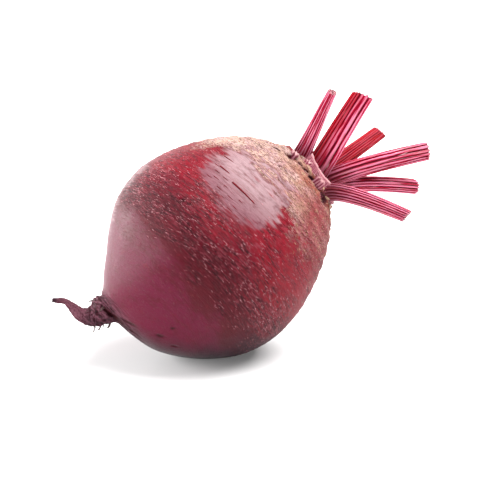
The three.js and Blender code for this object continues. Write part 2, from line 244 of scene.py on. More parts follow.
def makeSkin():
    material, tree = makeMaterial("beetrootSkinWaxy")
    colour = linear(skinColours)
    # skinPoint is in millimetres: round the root in X and Y, along the growth lines' own axis in Z
    skinPoint = reads(tree, "skinPoint", "Vector")
    along, cork, flecked, sleek, onTail = (
        reads(tree, name) for name in ("along", "cork", "flecked", "sleek", "onTail"))
    pitted, rimward, rosy, under, paintedRimReflection = (
        reads(tree, name) for name in ("pitted", "rimward", "rosy", "under", "paintedRimReflection"))

    # zones from the tail to the crown, with edges that wander by a few millimetres
    wander = pattern(tree, skinPoint, (14, 14, 8), 4, 0.6)
    zone = maths(tree, "ADD", along, ranged(tree, wander, 0.3, 0.7, -6, 6))
    skin = colour["belly"]
    for low, high, name in ((-29, -19, "band"), (-12, -4, "crimson"), (-4, 6, "bright")):
        skin = mixed(tree, ranged(tree, zone, low, high), skin, colour[name])
    # painted highlight on the smooth patch, paler higher up the root
    paintedHighlight = mixed(tree, ranged(tree, along, 10, 24), colour["paintedHighlight"], colour["paintedHighlightPale"])
    blotches = pattern(tree, skinPoint, (6, 6, 3), 5, 0.65, 0.5)
    redBlotches = pattern(tree, skinPoint, (4.2, 4.2, 2.6), 4, 0.6, 0.5)
    skin = layered(
        tree, skin,
        (product(tree, sleek, ranged(tree, along, -4, 2)), paintedHighlight),
        (ranged(tree, blotches, 0.48, 0.7, 0.0, 0.6), colour["band"]),
        (ranged(tree, redBlotches, 0.55, 0.75, 0.0, 0.5), colour["crimson"]))

    # dashes of thin cork 0.5 mm wide and some 3 mm long, between dark ones, all along the growth lines
    dashes = pattern(tree, skinPoint, (2.6, 2.6, 0.55), 3, 0.7)
    dashShare = product(tree, ranged(tree, dashes, 0.55, 0.59), ranged(tree, flecked, 0.0, 0.7, 0.0, 0.45))
    darkDashes = pattern(tree, skinPoint, (3.4, 3.4, 0.5), 3, 0.75)
    darkShare = product(tree, ranged(tree, darkDashes, 0.52, 0.56), ranged(tree, flecked, 0, 0.5, 0.1, 0.9))
    streaks = pattern(tree, skinPoint, (9, 9, 0.8), 5, 0.65)
    streakShare = product(
        tree, ranged(tree, streaks, 0.53, 0.62, 0.0, 0.28), sleek, ranged(tree, along, -6, 4))
    # a painted pale reflection along the rim over them, broken up into hair-fine lines
    rimReflectionShare = maths(tree, "ADD", paintedRimReflection, ranged(tree, streaks, 0.35, 0.65, 0.3, -0.3))
    rimReflectionShare = product(tree, ranged(tree, rimReflectionShare, 0.15, 0.95), paintedRimReflection)
    skin = layered(
        tree, skin, (streakShare, colour["crimson"]), (darkShare, colour["darkDash"]),
        (dashShare, colour["dash"]), (rimReflectionShare, colour["paintedRimReflection"]))

    # cork: pink and tan clouds, orange low on the crown, with thin dark cracks between its plates
    corkClouds = pattern(tree, skinPoint, (9, 9, 4), 5, 0.65, 0.6)
    orange = pattern(tree, skinPoint, (12, 12, 6), 3, 0.6)
    grains = pattern(tree, skinPoint, (1.7, 1.7, 0.5), 3, 0.75)
    plates = addNode(tree, "ShaderNodeTexVoronoi", {"feature": "DISTANCE_TO_EDGE"}, {
        "Vector": mapped(tree, skinPoint, (3.6, 3.6, 1.1)), "Scale": 1.0,
    })
    cracks = product(tree, ranged(tree, plates, 0.1, 0.0), ranged(tree, grains, 0.4, 0.55))
    corkSkin = layered(
        tree, colour["corkPink"],
        (ranged(tree, corkClouds, 0.4, 0.6), colour["corkTan"]),
        (product(tree, ranged(tree, orange, 0.3, 0.6), rimward), colour["corkOrange"]),
        (product(tree, rosy, ranged(tree, corkClouds, 0.35, 0.6, 0.7, 1.0)), colour["corkRosy"]),
        (ranged(tree, grains, 0.54, 0.59, 0.0, 0.85), colour["corkCrack"]),
        (product(tree, cracks, 0.8), colour["corkCrack"]))
    edge = maths(tree, "ADD", cork, ranged(tree, grains, 0.35, 0.65, -0.45, 0.45))

    # the tail: brown and pink, with wrinkles across it
    wrinkle = pattern(tree, skinPoint, (12, 12, 0.9), 4, 0.6)
    specks = pattern(tree, skinPoint, (6, 6, 0.8), 3, 0.7)
    tailSkin = layered(
        tree, colour["tailBrown"],
        (ranged(tree, wrinkle, 0.42, 0.62), colour["tailPink"]),
        (ranged(tree, along, -56, -60, 0.0, 0.8), colour["tailTip"]),
        (ranged(tree, specks, 0.5, 0.58, 0.0, 0.6), colour["tailRed"]),
        (ranged(tree, along, -62.4, -63.2, 0.0, 0.8), colour["tailBrown"]))
    # cork and tail over the skin, then painted shade low on the belly near the floor, then the dark pits
    skin = layered(
        tree, skin, (ranged(tree, edge, 0.3, 0.7), corkSkin), (onTail, tailSkin),
        (under, colour["under"]), (pitted, colour["pit"]))

    rough = layered(
        tree, grey(0.52), (sleek, grey(0.33)), (ranged(tree, edge, 0.2, 0.8), grey(0.62)),
        (onTail, grey(0.66)))
    height = maths(tree, "SUBTRACT", product(tree, grains, 0.6), cracks)
    height = product(tree, height, ranged(tree, edge, 0.3, 0.8, 0.08, 1.0))
    height = maths(tree, "ADD", height, product(tree, dashShare, 0.7))
    height = maths(tree, "SUBTRACT", height, product(tree, darkShare, 0.4))
    height = maths(tree, "ADD", height, product(tree, streaks, ranged(tree, along, -10, 4, 0.0, 0.35)))
    height = maths(tree, "ADD", height, product(tree, wrinkle, onTail))
    return finishMaterial(material, skin, rough, height, depth=0.4, strength=1.0, ior=1.23)


# Leaf stalk: moist and glossy, with pale pink ribs and thin dark red grooves. Some are a riper, plain red.
stalkColours = {
    "groove": "#4a0212",
    "side": "#980a2c",
    "rib": "#cf728e",
    "ripe": "#8c0010",
    "cutPale": "#c48c94",
    "shade": "#3a020c",
}


def makeStalkSkin():
    material, tree = makeMaterial("beetStalkRibbed")
    colour = linear(stalkColours)
    # fibre is in millimetres: across the stalk in X and Y, along it in Z
    fibre = reads(tree, "fibre", "Vector")
    rib, ripe, upward, trimmed = (reads(tree, name) for name in ("rib", "ripe", "upward", "trimmed"))
    # streaks 0.5 mm wide that run some 15 mm along the stalk
    streaks = pattern(tree, fibre, (0.8, 0.8, 18), 4, 0.6)
    clouds = pattern(tree, fibre, (4, 4, 22), 3, 0.5)
    ribShare = maths(tree, "ADD", rib, ranged(tree, streaks, 0.3, 0.7, -0.35, 0.35))
    ripeShare = ranged(tree, maths(tree, "ADD", ripe, clouds), 0.85, 1.25)
    paleRib = mixed(tree, product(tree, ripeShare, 0.85), colour["rib"], colour["ripe"])
    side = mixed(tree, ripeShare, colour["side"], colour["ripe"])
    # a few pale threads that every stalk has
    threads = pattern(tree, fibre, (1.5, 1.5, 60), 1, 0.5)
    threadEdge = maths(tree, "ABSOLUTE", maths(tree, "SUBTRACT", threads, 0.5))
    threadShare = product(tree, ranged(tree, threadEdge, 0.014, 0.0), ranged(tree, ripeShare, 0, 1, 0.8, 0.2))
    cutSpots = pattern(tree, fibre, (0.9, 0.9, 0.9), 3, 0.6)
    cutSkin = mixed(tree, ranged(tree, cutSpots, 0.42, 0.6), colour["groove"], colour["cutPale"])
    # darker and redder near the crown, where little light reaches
    shadeShare = ranged(tree, upward, 0.5, 0.1, 0.0, 0.85)
    skin = layered(
        tree, colour["groove"],
        (ranged(tree, ribShare, 0.35, 0.68), side), (ranged(tree, ribShare, 0.72, 1.02), paleRib),
        (threadShare, colour["cutPale"]), (shadeShare, colour["shade"]), (trimmed, cutSkin))
    return finishMaterial(material, skin, 0.46, streaks, depth=0.2, strength=0.6, ior=1.15, more={
        "Subsurface Weight": 0.12, "Subsurface Scale": 1.2 * mm, "Subsurface Radius": (1.0, 0.25, 0.2),
    })


# Torn leaf base: dry and papery, satin pink fibres that turn brown and dull at the torn edge.
tornColours = {"fibre": "#ac6c78", "between": "#77293c", "edge": "#cc9c9e", "dry": "#542923"}


def makeTornSkin():
    material, tree = makeMaterial("tornLeafBaseDry")
    colour = linear(tornColours)
    fibre = reads(tree, "fibre", "Vector")
    streaks = pattern(tree, fibre, (0.7, 0.7, 5), 5, 0.65)
    share = maths(tree, "ADD", reads(tree, "rib"), ranged(tree, streaks, 0.3, 0.7, -0.6, 0.6))
    patches = pattern(tree, fibre, (3, 3, 3), 4, 0.6)
    skin = layered(
        tree, colour["between"], (ranged(tree, share, -0.3, 0.5), colour["fibre"]),
        (ranged(tree, patches, 0.56, 0.7, 0.0, 0.5), colour["dry"]), (reads(tree, "edge"), colour["edge"]))
    return finishMaterial(material, skin, 0.6, streaks, depth=0.3, strength=0.8, ior=1.3)


# Loose cork, dashes and root hairs: dry and matt, each one a little lighter or darker than the next.
dryColours = {
    "corkFlakeDry": ("#6d4034", "#9f7f68"),
    "corkDashPale": ("#74242f", "#b98086"),
    "tornFibrePale": ("#b07a80", "#d8b4b6"),
    "scabDry": ("#56060f", "#861a2a"),
    "rootHairDry": ("#472e2f", "#826d6a"),
}


def makeDry(name):
    material, tree = makeMaterial(name)
    dark, light = (toLinear(value) for value in dryColours[name])
    # grains 0.6 mm wide
    grains = pattern(tree, addNode(tree, "ShaderNodeTexCoord", out="Object"), (0.625 * mm,) * 3, 3, 0.6)
    share = maths(tree, "ADD", reads(tree, "own"), ranged(tree, grains, 0.3, 0.7, -0.4, 0.4))
    skin = mixed(tree, ranged(tree, share, 0.0, 1.0), dark, light)
    return finishMaterial(material, skin, 0.68, grains, depth=0.15, strength=0.6, ior=1.3)


skinMaterial = makeSkin()
stalkMaterial = makeStalkSkin()
tornMaterial = makeTornSkin()
flakeMaterial, dashMaterial, fibreMaterial, scabMaterial, hairMaterial = (
    makeDry(name) for name in dryColours)
print("materials made")


# The root: the part's own outline and relief on a fine grid, with cork plates, dashes, pits and folds.
# A knot is distance along the axis, shift of the ring's middle towards the tail's side, radius as a share
# of half the girth, and the ring's own lean in degrees.
root = {
    "girth": 89.4,
    "knots": [
        (-64.0, 24.4, 0.018, -44), (-62.2, 22.8, 0.025, -50), (-60.2, 20.6, 0.03, -66),
        (-59.3, 17.0, 0.041, -84), (-58.7, 12.9, 0.061, -68), (-56.0, 9.6, 0.0917, -36),
        (-52.2, 8.4, 0.126, -10), (-49.0, 7.3, 0.1575, 0), (-47.4, 3.6, 0.2244, 0),
        (-44.6, -0.45, 0.3548, 0), (-40.7, -1.75, 0.4792, 0), (-34.9, -2.45, 0.617, 0),
        (-27.0, -1.85, 0.7794, 0), (-17.0, -0.7, 0.9248, 0), (-4.0, 0.1, 0.9996, 0),
        (9.0, 0.1, 0.9787, 0), (22.0, -0.05, 0.8841, 0), (34.0, -0.1, 0.7369, 0),
        (43.0, -0.5, 0.5734, 0), (48.8, -0.85, 0.4244, 0), (52.0, -1.2, 0.3244, 0),
        (54.2, -2.0, 0.258, 0), (55.9, -2.6, 0.138, 0), (56.4, -3.0, 0.02, 0),
    ],
    "rows": 318,
    "columns": 300,
    "steps": 4000,           # for measuring the way along the surface
    "patternRadius": 30,     # patterns are laid round a cylinder of this radius
    "swellings": [(0.7, 2, 0.9, 0.012), (0.45, 3, -1.3, 0.05), (0.22, 5, 0.4, -0.09)],
    "ringHeight": 0.3,
    "ringSpacing": 5.0,
    "furrowDepth": 0.5,
    "furrowAzimuths": (69, 237),
    "wrinkleShare": 0.045,
    "wrinkleSpacing": 2.6,
    "plateLength": 4.5,      # cork plates, round the root and along it
    "plateHeight": 1.6,
    "crackDepth": 0.24,
    "dashHeight": 0.2,
    "grainLean": 0.14,       # growth lines climb by this share of their way round, from this azimuth
    "grainAzimuth": 62,
    # middle of the painted rim reflection, on the side away from the viewer
    "rimReflectionAzimuth": -50,
    # the smooth patch: its middle's azimuth, lower edge there and how that bows, upper edge, reach in radians
    "patch": {"azimuth": 46, "low": 5.5, "bow": 38, "high": 33, "reach": 0.46},
}

# Pits: along, azimuth, length round the root, width, depth
pits = [
    (-3.8, 34, 2.2, 1.0, 0.9), (-2.6, 38, 1.2, 0.7, 0.5), (-41.0, 100, 2.2, 0.8, 0.6),
    (-38.5, 118, 1.8, 0.8, 0.6), (-36.0, 92, 1.5, 0.6, 0.4), (-46.6, 87, 2.4, 0.8, 0.9),
    (-48.6, 110, 7.0, 0.7, 0.9), (-50.0, 76, 6.0, 0.7, 0.7), (-46.8, 125, 2.6, 0.9, 0.9),
    (47.2, 35, 4.4, 1.4, 3.0), (48.0, 46, 4.0, 0.5, 1.0), (48.3, 57, 3.5, 0.6, 1.0),
    (48.2, 71, 4.6, 0.9, 1.8), (48.6, 84, 6.0, 1.0, 2.5), (47.8, 103, 7.0, 1.8, 3.0),
    (44.5, 24, 4.0, 0.4, 0.5), (47.8, 208, 5.0, 1.0, 1.3), (48.6, -64, 4.5, 1.0, 1.2),
]


def outlineAt(place):
    knots = root["knots"]
    first = tuple(2 * a - b for a, b in zip(knots[0], knots[1]))
    last = tuple(2 * a - b for a, b in zip(knots[-1], knots[-2]))
    padded = [first] + knots + [last]
    index = min(int(place), len(knots) - 2)
    t = place - index
    before, start, end, after = padded[index:index + 4]
    return [
        0.5 * (2 * b + (c - a) * t + (2 * a - 5 * b + 4 * c - d) * t * t + (3 * b - a - 3 * c + d) * t ** 3)
        for a, b, c, d in zip(before, start, end, after)
    ]


def rootRelief(along, azimuth, radius):
    swollen = sum(h * math.sin(n * azimuth + t + w * along) for h, n, t, w in root["swellings"])
    nearCrown = ease(10, 46, along) * (1 - ease(plant["crownHeight"] - 1, plant["crownHeight"] + 3, along))
    sway = 1.4 * math.sin(azimuth + 0.5) + 0.7 * math.sin(4 * azimuth)
    rings = root["ringHeight"] * math.sin(along / root["ringSpacing"] * fullTurn + sway)
    nearTail = ease(-50, -42, along) * (1 - ease(-30, 2, along))
    furrows = sum(max(0.0, math.cos(azimuth - math.radians(side))) ** 24 for side in root["furrowAzimuths"])
    onTail = 1 - ease(-50, -44, along)
    crossing = along / root["wrinkleSpacing"] * fullTurn + 2 * math.sin(azimuth * 2 + 0.6)
    wrinkles = root["wrinkleShare"] * radius * math.sin(crossing)
    broad = min(1.0, radius / 30)
    return broad * swollen + nearCrown * rings - root["furrowDepth"] * nearTail * furrows + onTail * wrinkles


def evenRows():
    # places along the knots that are evenly spaced on the surface, with the distance travelled
    half = root["girth"] / 2
    count = root["steps"]
    places = [i / count * (len(root["knots"]) - 1) for i in range(count + 1)]
    travelled = [0.0]
    previous = outlineAt(0)
    for place in places[1:]:
        current = outlineAt(place)
        step = math.dist(
            (previous[0], previous[1], previous[2] * half), (current[0], current[1], current[2] * half))
        travelled.append(travelled[-1] + step)
        previous = current
    rows = []
    i = 0
    for row in range(root["rows"]):
        wanted = travelled[-1] * row / (root["rows"] - 1)
        while travelled[i + 1] < wanted and i < count - 1:
            i += 1
        share = (wanted - travelled[i]) / (travelled[i + 1] - travelled[i])
        rows.append((mix(places[i], places[i + 1], share), wanted))
    return rows


def onGrain(skinPoint, grain, length, height):
    # where a pattern this long round the root, and this high across the growth lines, is read
    return Vector((skinPoint.x / length, skinPoint.y / length, grain / height))


def turnedFrom(azimuth, degrees):
    return (azimuth - math.radians(degrees) + math.pi) % fullTurn - math.pi


def makeRoot():
    half = root["girth"] / 2
    columns = root["columns"]
    side = aroundAxis(tailSide, 1, 0)
    leanAxis = aroundAxis(tailSide + math.radians(90), 1, 0)
    facing = math.radians(root["grainAzimuth"])
    patchAt = root["patch"]
    points, skinPoints, grainWays = [], [], []
    zones = {name: [] for name in (
        "along", "cork", "flecked", "sleek", "onTail", "pitted", "rimward", "rimZone", "rosy", "under",
        "paintedRimReflection")}
    for place, travelled in evenRows():
        along, shift, share, lean = outlineAt(place)
        radius = share * half
        leaning = Matrix.Rotation(math.radians(lean), 3, leanAxis)
        onTail = 1 - ease(-48.5, -44.5, along)
        nearPits = [pit for pit in pits if abs(pit[0] - along) < 3 * pit[3] + 1]
        for column in range(columns):
            azimuth = column / columns * fullTurn
            reach = radius + rootRelief(along, azimuth, radius)
            spot = aroundAxis(azimuth, reach, along)
            clouds = noise.noise(spot / 11) + 0.5 * noise.noise(spot / 4.5)
            grain = travelled - root["grainLean"] * reach * math.sin(azimuth - facing)
            skinPoint = aroundAxis(azimuth, root["patternRadius"], grain)
            # a smooth patch on the shoulder, with teeth along the growth lines, and the smooth lower half;
            # the patch also carries a painted highlight
            aside = turnedFrom(azimuth, patchAt["azimuth"])
            inward = min(along - patchAt["low"] - patchAt["bow"] * aside * aside,
                         0.3 * (patchAt["high"] - along), 28 * (patchAt["reach"] - abs(aside)))
            teeth = noise.noise(onGrain(skinPoint, grain, 5, 1.1))
            patch = ease(-1, 1.5, inward + 2.2 * noise.noise(spot / 6) + 3.4 * teeth)
            belly = 1 - ease(-26, -18, along + 5 * clouds)
            sleek = max(patch, belly)
            cork = ease(-8, 8, along - 25 + 1.5 * math.cos(azimuth - tailSide) + 8 * clouds + 4 * teeth)
            cork *= 1 - patch
            nearest = noise.voronoi(onGrain(skinPoint, grain, root["plateLength"], root["plateHeight"]))[0]
            crack = 1 - ease(0.0, 0.22, nearest[1] - nearest[0])
            nearRim = ease(40, 51, along)
            fine = -root["crackDepth"] * crack * cork * mix(0.4, 1.8, nearRim)
            fine += cork * mix(0.10, 0.5, nearRim) * noise.fractal(spot / 3.2, 0.8, 2.1, 4)
            dash = noise.noise(onGrain(skinPoint, grain, 3.4, 0.9))
            fine += root["dashHeight"] * (1 - sleek) * (1 - 0.6 * cork) * max(0.0, dash - 0.05) / 0.5
            fine += 0.12 * noise.noise(spot / 9)
            tailFold = noise.fractal(onGrain(skinPoint, grain, 14, 1.6), 0.7, 2.0, 4)
            fine += onTail * min(0.6, 0.12 * radius + 0.06) * tailFold
            cut = 0.0
            for pitAlong, pitAzimuth, pitLength, width, depth in nearPits:
                around = turnedFrom(azimuth, pitAzimuth)
                offset = around * radius / (pitLength / 2)
                if abs(offset) < 1:
                    bend = noise.noise(Vector((around * radius / 2.5, pitAlong, 3.0)))
                    drift = root["grainLean"] * around * radius - 0.5 * width * bend
                    nearness = math.exp(-((along - pitAlong - drift) / width) ** 2) * (1 - offset ** 4)
                    fine -= depth * nearness
                    cut = max(cut, nearness)
            leaned = leaning @ aroundAxis(azimuth, reach + fine, 0)
            points.append(leaned + side * shift + Vector((0, 0, along)))
            skinPoints.append(skinPoint)
            climb = root["grainLean"] * math.cos(azimuth - facing)
            sideways = aroundAxis(azimuth + math.radians(90), 1, 0)
            grainWays.append(plantTurn @ (sideways + Vector((0, 0, climb))))
            rimward = ease(20, 48, along) * ease(-0.1, 0.9, math.sin(azimuth - 0.3))
            rosy = ease(1.2, 1.7, azimuth + 0.2 * clouds) * (1 - ease(2.6, 3.5, azimuth))
            rosy *= 1 - 0.6 * ease(40, 50, along)
            height = (plantPlace @ spot).z / mm
            # painted shade: darker towards the floor on the lower belly
            under = 0.93 * ease(25, 4, height + 3 * clouds) * (1 - ease(30, 44, along))
            clusters = 0.65 + 0.9 * noise.noise(onGrain(skinPoint, grain, 9, 5))
            fading = ease(-26, -10, along + 6 * clouds) * mix(1, 0.5, ease(2, 12, along + 5 * clouds))
            # the side away from the viewer, where a pale rim reflection is painted on the skin
            hidden = math.cos(azimuth - math.radians(root["rimReflectionAzimuth"]))
            paintedRimReflection = ease(0.62, 0.98, hidden + 0.1 * clouds) * ease(-36, -20, along) * (1 - cork)
            rim = ease(44, 48, along) * (1 - ease(51, 53, along)) * (1 - ease(0.1, 0.4, cut))
            raised = ease(1, 3, height)    # nothing is loose where it rests
            flecked = raised * fading * (1 - 0.85 * sleek) * max(0.3, clusters)
            found = (along, cork * raised * (1 - cut), flecked, sleek, onTail, min(1.0, cut * 1.6),
                     rimward, rim, rosy, under, paintedRimReflection)
            for values, value in zip(zones.values(), found):
                values.append(value)
    faces = closeTube(points, columns, [skinPoints, grainWays, *zones.values()])
    piece = makePiece("rootSkin", points, faces, skinMaterial)
    for vertex in piece.data.vertices:
        vertex.co.z = max(0.0, vertex.co.z)   # flattened where it rests
    giveAttribute(piece.data, "skinPoint", "FLOAT_VECTOR", skinPoints)
    giveAttribute(piece.data, "grainWay", "FLOAT_VECTOR", grainWays)
    for name, values in zones.items():
        giveAttribute(piece.data, name, "FLOAT", values)
    return piece


rootSkin = makeRoot()
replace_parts(rootSkin, "beetroot_body")
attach(rootSkin, "root")
print("root skin:", len(rootSkin.data.polygons), "faces")

# Leaf stalks, as in the part: foot and knee beside the axis, lean and azimuth of the line, length, section at
# the foot, share left at the trimmed end, slants of the cut, and how ripe a red it has.
stalks = {
    "ribCount": 17,
    "ribDepth": 0.17,
    "channelDepth": 0.1,
    "footDepth": 4.0,
    "each": [
        {"foot": (5.2, 6.5), "knee": (8.0, 9.6, 3.6), "lean": 26.9, "toward": -2.6, "length": 27.2,
         "width": 7.6, "thick": 9.7, "tip": 0.44, "cut": (30, -16), "ripe": 0.2, "ripeOutward": 0.0},
        {"foot": (-4.0, 3.4), "knee": (-1.1, 4.3, 5.9), "lean": 18, "toward": -20, "length": 35.8,
         "width": 9.8, "thick": 12.5, "tip": 0.78, "cut": (-3, -12), "ripe": 0.4, "ripeOutward": 0.6},
        {"foot": (-4.0, -7.7), "knee": (-5.4, -9.6, 16.9), "lean": 18.2, "toward": -121.5, "length": 28,
         "width": 8.1, "thick": 6.0, "tip": 0.76, "cut": (14, 12), "ripe": 0.95, "ripeOutward": 0.0},
        {"foot": (-5.5, -4.0), "knee": (-7.1, -3.8, 13.1), "lean": 25.5, "toward": 159, "length": 41.4,
         "width": 8.5, "thick": 9.0, "tip": 0.95, "cut": (3, 0), "ripe": 0.0, "ripeOutward": 0.0},
        {"foot": (-8.6, -7.5), "knee": (-11.7, -8.4, 14.4), "lean": 43, "toward": 173.8, "length": 34.7,
         "width": 7.4, "thick": 6.9, "tip": 1.04, "cut": (8, 8), "ripe": 0.2, "ripeOutward": 0.0},
        {"foot": (-10.1, 7.2), "knee": (-13.1, 8.0, 6.1), "lean": 63.5, "toward": 144.6, "length": 31.2,
         "width": 11.5, "thick": 8.6, "tip": 0.66, "cut": (-1, -20), "ripe": 0.2, "ripeOutward": 0.0},
    ],
}


def onCrown(aside, across, height):
    spot = aroundAxis(tailSide, aside, plant["crownHeight"] + height)
    return spot + aroundAxis(tailSide + math.radians(90), across, 0)


def newTree(name, geometryIn, numbers, vectors=(), strings=()):
    tree = bpy.data.node_groups.new(name, "GeometryNodeTree")
    face = tree.interface
    face.new_socket(geometryIn, in_out="INPUT", socket_type="NodeSocketGeometry")
    for kind, names in (("Float", numbers), ("Vector", vectors), ("String", strings)):
        for own in names:
            face.new_socket(own, in_out="INPUT", socket_type="NodeSocket" + kind)
    face.new_socket("Seed", in_out="INPUT", socket_type="NodeSocketInt")
    face.new_socket("Material", in_out="INPUT", socket_type="NodeSocketMaterial")
    face.new_socket("Result", in_out="OUTPUT", socket_type="NodeSocketGeometry")
    return tree, tree.nodes.new("NodeGroupInput").outputs


def endTree(tree, given, geometry):
    real = addNode(tree, "GeometryNodeRealizeInstances", {}, {"Geometry": geometry})
    dressed = addNode(tree, "GeometryNodeSetMaterial", {}, {"Geometry": real, "Material": given["Material"]})
    addNode(tree, "NodeGroupOutput", {}, {"Result": dressed})
    return tree


def stored(tree, geometry, name, value, kind="FLOAT", domain="POINT"):
    return addNode(tree, "GeometryNodeStoreNamedAttribute", {"data_type": kind, "domain": domain}, {
        "Geometry": geometry, "Name": name, "Value": value,
    })


def vectors(tree, operation, a, b=(0.0, 0.0, 0.0)):
    return addNode(tree, "ShaderNodeVectorMath", {"operation": operation}, {0: a, 1: b})


def scaled(tree, vector, size):
    return addNode(tree, "ShaderNodeVectorMath", {"operation": "SCALE"}, {0: vector, "Scale": size})


def randomly(tree, low, high, seed, shift):
    return addNode(tree, "FunctionNodeRandomValue", {"data_type": "FLOAT"}, {
        "Min": low, "Max": high, "Seed": maths(tree, "ADD", seed, shift),
    }, "Value")


def makeStalkTree():
    tree, given = newTree("ribbedStalk", "Path", (
        "Width", "Thickness", "Tip Share", "Rib Count", "Rib Depth", "Channel", "Cut Across", "Cut Outward",
        "Ripeness", "Ripe Outward"), ("Outer",))
    tube = addNode(tree, "GeometryNodeMeshCylinder", {"fill_type": "TRIANGLE_FAN"}, {
        "Vertices": 140, "Side Segments": 60, "Fill Segments": 5, "Radius": 1.0, "Depth": 1.0,
    })
    place = addNode(tree, "GeometryNodeInputPosition")
    x, y, z = addNode(tree, "ShaderNodeSeparateXYZ", {}, {0: place}).node.outputs
    share = maths(tree, "ADD", z, 0.5)
    square = maths(tree, "MULTIPLY_ADD", x, x, product(tree, y, y))
    radial = maths(tree, "MINIMUM", maths(tree, "SQRT", square), 1.0)
    angle = maths(tree, "ARCTAN2", y, x)
    # rounded ribs between narrow grooves; the angle is bent a little before they are counted
    uneven = maths(tree, "SINE", maths(tree, "MULTIPLY_ADD", angle, 2.0, given["Seed"]))
    bent = maths(tree, "MULTIPLY_ADD", uneven, 0.12, angle)
    halfTurns = product(tree, bent, given["Rib Count"], 0.5)
    rib = maths(tree, "POWER", maths(tree, "ABSOLUTE", maths(tree, "COSINE", halfTurns)), 0.6)
    rising = ranged(tree, share, 0.05, 0.4, 0.4, 1.0)
    lift = product(tree, maths(tree, "SUBTRACT", rib, 0.72), rising)
    ribSize = maths(tree, "MULTIPLY_ADD", lift, given["Rib Depth"], 1.0)
    taper = addNode(tree, "ShaderNodeMix", {}, {
        0: maths(tree, "POWER", share, 0.7), 2: 1.0, 3: given["Tip Share"],
    })
    size = product(tree, ribSize, taper, product(tree, radial, 0.5))
    sine = maths(tree, "SINE", angle)
    across = product(tree, maths(tree, "COSINE", angle), size, given["Width"])
    outward = product(tree, sine, size, given["Thickness"])
    inner = maths(tree, "MAXIMUM", product(tree, sine, -1.0), 0.0)
    channel = product(tree, maths(tree, "POWER", inner, 3.0), given["Channel"], radial, given["Thickness"])
    outward = maths(tree, "MULTIPLY_ADD", channel, taper, outward)
    onPath = addNode(tree, "GeometryNodeSampleCurve", {"mode": "FACTOR"}, {
        "Curves": given["Path"], "Factor": share,
    }).node.outputs
    acrossWay = vectors(tree, "NORMALIZE", vectors(tree, "CROSS_PRODUCT", given["Outer"], onPath["Tangent"]))
    outwardWay = vectors(tree, "CROSS_PRODUCT", onPath["Tangent"], acrossWay)
    # the trimmed end slants, and its ribs stand up a little raggedly
    nearTip = maths(tree, "MAXIMUM", maths(tree, "MULTIPLY_ADD", share, 7.0, -6.0), 0.0)
    slant = product(tree, across, given["Cut Across"])
    slant = maths(tree, "MULTIPLY_ADD", outward, given["Cut Outward"], slant)
    onEnd = maths(tree, "GREATER_THAN", share, 0.9999)
    pith = addNode(tree, "ShaderNodeTexNoise", {}, {"Vector": place, "Scale": 4.0, "Detail": 3.0})
    ragged = maths(tree, "ADD", maths(tree, "SUBTRACT", pith, 0.9), product(tree, rib, 0.4))
    ragged = product(tree, ragged, onEnd, 1.4 * mm)
    shift = maths(tree, "MULTIPLY_ADD", slant, nearTip, ragged)
    spot = onPath["Position"]
    for way, reach in ((acrossWay, across), (outwardWay, outward), (onPath["Tangent"], shift)):
        spot = vectors(tree, "ADD", spot, scaled(tree, way, reach))
    length = addNode(tree, "GeometryNodeCurveLength", {}, {0: given["Path"]})
    halfWidth = product(tree, given["Width"], 500.0)   # to millimetres
    fibre = addNode(tree, "ShaderNodeCombineXYZ", {}, {
        0: product(tree, x, halfWidth), 1: product(tree, y, halfWidth),
        2: product(tree, share, length, 1000.0),
    })
    ripe = maths(tree, "MULTIPLY_ADD", y, given["Ripe Outward"], given["Ripeness"])
    geometry = stored(tree, tube, "fibre", fibre, "FLOAT_VECTOR")
    for name, value in (("rib", rib), ("ripe", ripe), ("trimmed", onEnd), ("upward", share)):
        geometry = stored(tree, geometry, name, value)
    geometry = addNode(tree, "GeometryNodeSetPosition", {}, {"Geometry": geometry, "Position": spot})
    return endTree(tree, given, geometry)


def runTree(host, tree, values, name):
    # gives the tree its values by socket identifier, then keeps the result as a plain mesh
    modifier = host.modifiers.new(tree.name, "NODES")
    modifier.node_group = tree
    for item in tree.interface.items_tree:
        if item.in_out == "INPUT" and item.name in values:
            modifier[item.identifier] = values[item.name]
    graph = bpy.context.evaluated_depsgraph_get()
    mesh = bpy.data.meshes.new_from_object(host.evaluated_get(graph))
    host.modifiers.remove(modifier)
    mesh.name = name
    piece = addObject(name, mesh)
    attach(piece, "root")
    return piece


def followPath(tree, spots, values, name):
    # one smooth stretch from the first spot to the last, drawn towards the two between
    curve = bpy.data.curves.new("path", "CURVE")
    curve.dimensions = "3D"
    curve.resolution_u = 48
    spline = curve.splines.new("BEZIER")
    spline.bezier_points.add(1)
    start, rising, leaving, end = [plantPlace @ s for s in spots]
    first, last = spline.bezier_points
    first.co, first.handle_left, first.handle_right = start, start - (rising - start), rising
    last.co, last.handle_left, last.handle_right = end, leaving, end + (end - leaving)
    path = addObject("path", curve)
    piece = runTree(path, tree, values, name)
    bpy.data.objects.remove(path)
    return piece


stalkTree = makeStalkTree()


def growStalk(spots, toward, seed, ribs, shape, slopes, name):
    piece = followPath(stalkTree, spots, {
        "Width": shape["width"] * mm,
        "Thickness": shape["thick"] * mm,
        "Tip Share": shape["tip"],
        "Rib Count": float(ribs["ribCount"]),
        "Rib Depth": ribs["ribDepth"],
        "Channel": ribs["channelDepth"],
        "Cut Across": slopes[0],
        "Cut Outward": slopes[1],
        "Ripeness": shape["ripe"],
        "Ripe Outward": shape["ripeOutward"],
        "Outer": plantTurn @ aroundAxis(toward, 1, 0),
        "Seed": seed,
        "Material": stalkMaterial,
    }, name)
    piece.data.set_sharp_from_angle(angle=math.radians(60))
    return piece


